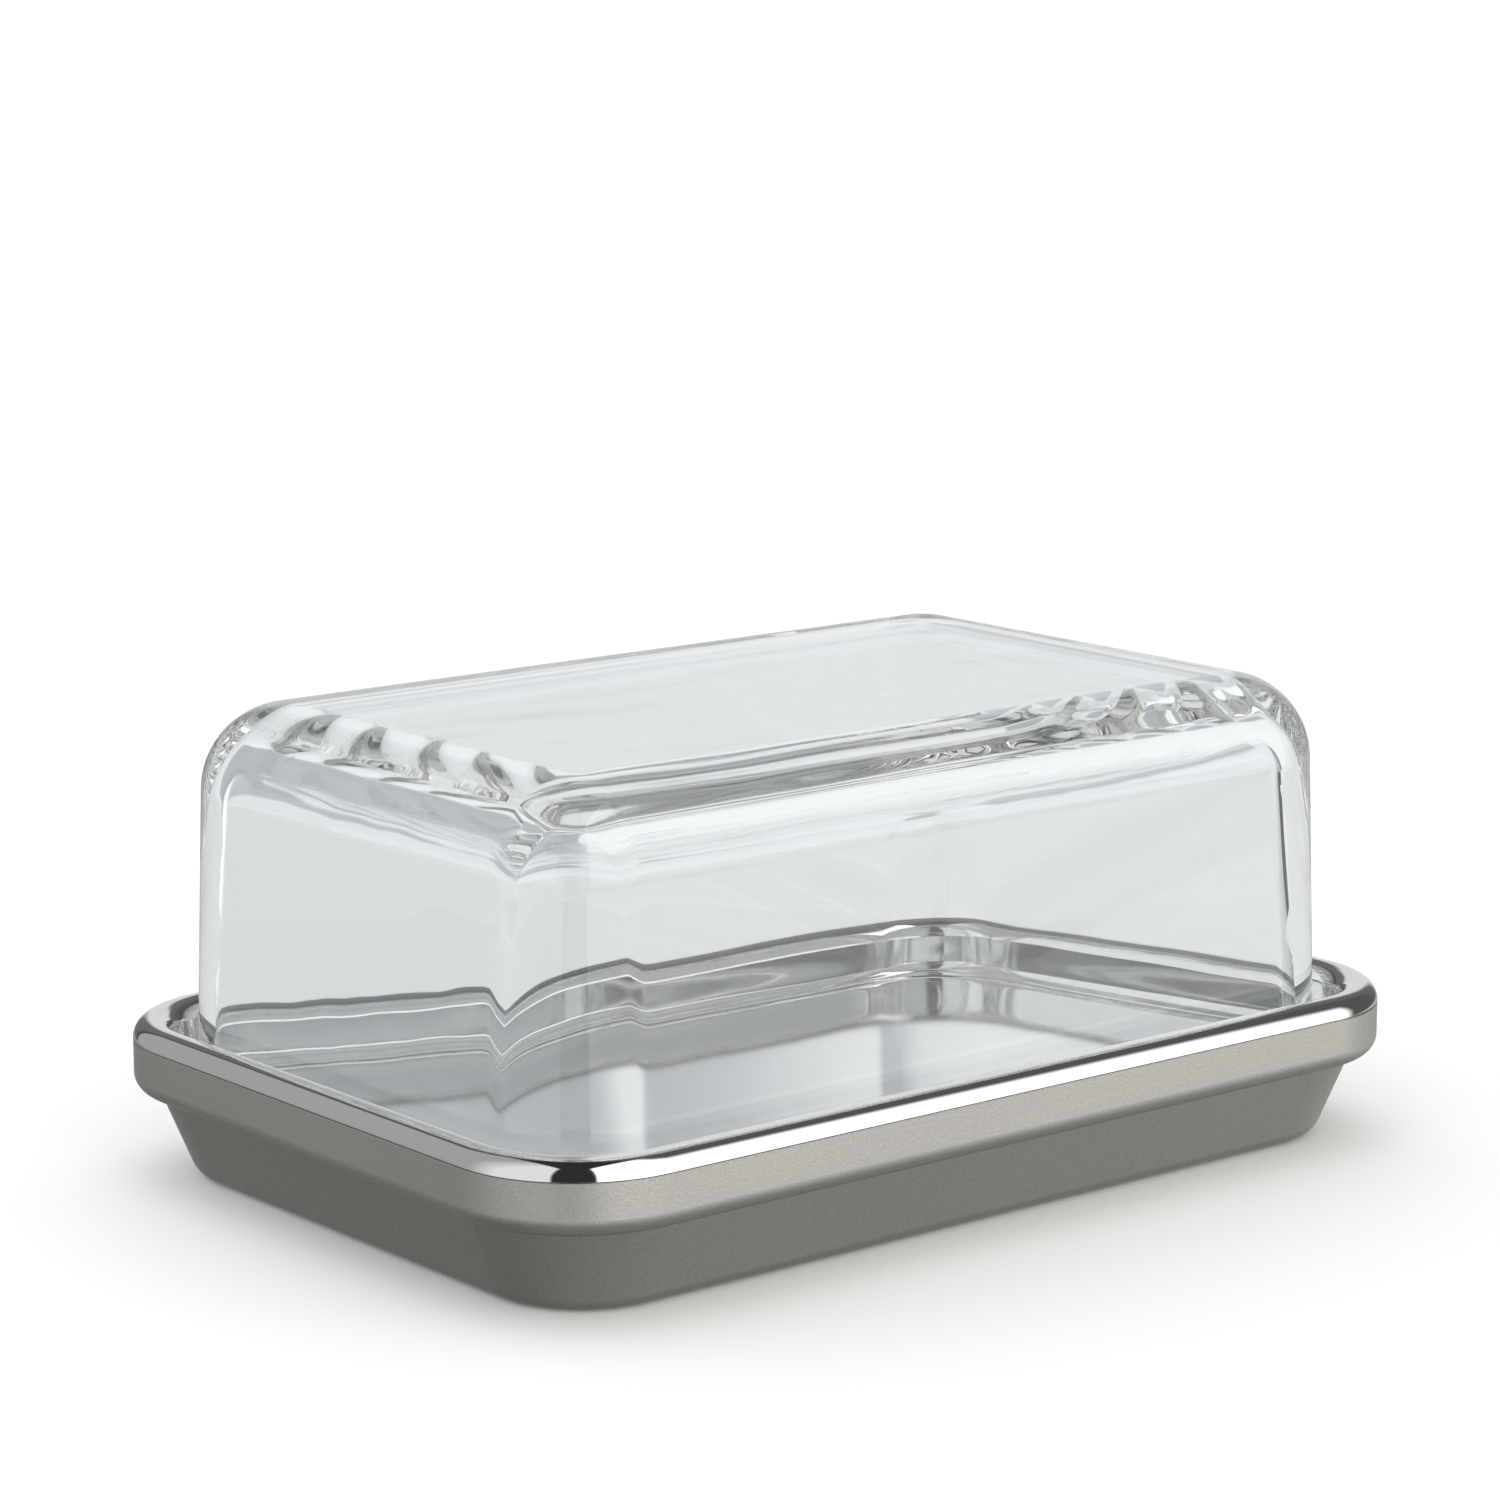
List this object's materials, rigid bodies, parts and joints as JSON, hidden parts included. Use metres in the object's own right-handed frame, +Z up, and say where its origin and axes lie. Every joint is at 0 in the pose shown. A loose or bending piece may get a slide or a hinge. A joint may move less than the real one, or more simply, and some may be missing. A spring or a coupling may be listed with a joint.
{
  "type": "butter dish",
  "caption": "Rectangular butter dish: shallow double-walled steel tray with a rolled rim on a tapered base, and a heavy clear glass cover that lifts off.",
  "frame": {"origin": "centre of the underside of the base, on the surface the dish stands on", "axes": "+Z up, X along the long side, Y along the short side"},
  "size_m": [0.18, 0.124, 0.0759],
  "materials": {
    "polished_steel": "mirror-polished stainless steel on the rim, finely brushed on the floor",
    "satin_steel": "fine satin stainless steel",
    "satin_steel_base": "fine satin stainless steel, a little darker than the band",
    "clear_glass": "clear pressed glass, smooth, with slight waves near the top edges"
  },
  "bodies": {
    "dish": {"inner_tray": "polished_steel", "outer_band": "satin_steel", "base_shell": "satin_steel_base"},
    "cover": {"glass_cover": "clear_glass"}
  },
  "joints": [
    {"name": "cover_lift", "type": "slide", "parent": "dish", "child": "cover", "axis": [0, 0, 1], "range_m": [0, 0.08]}
  ]
}
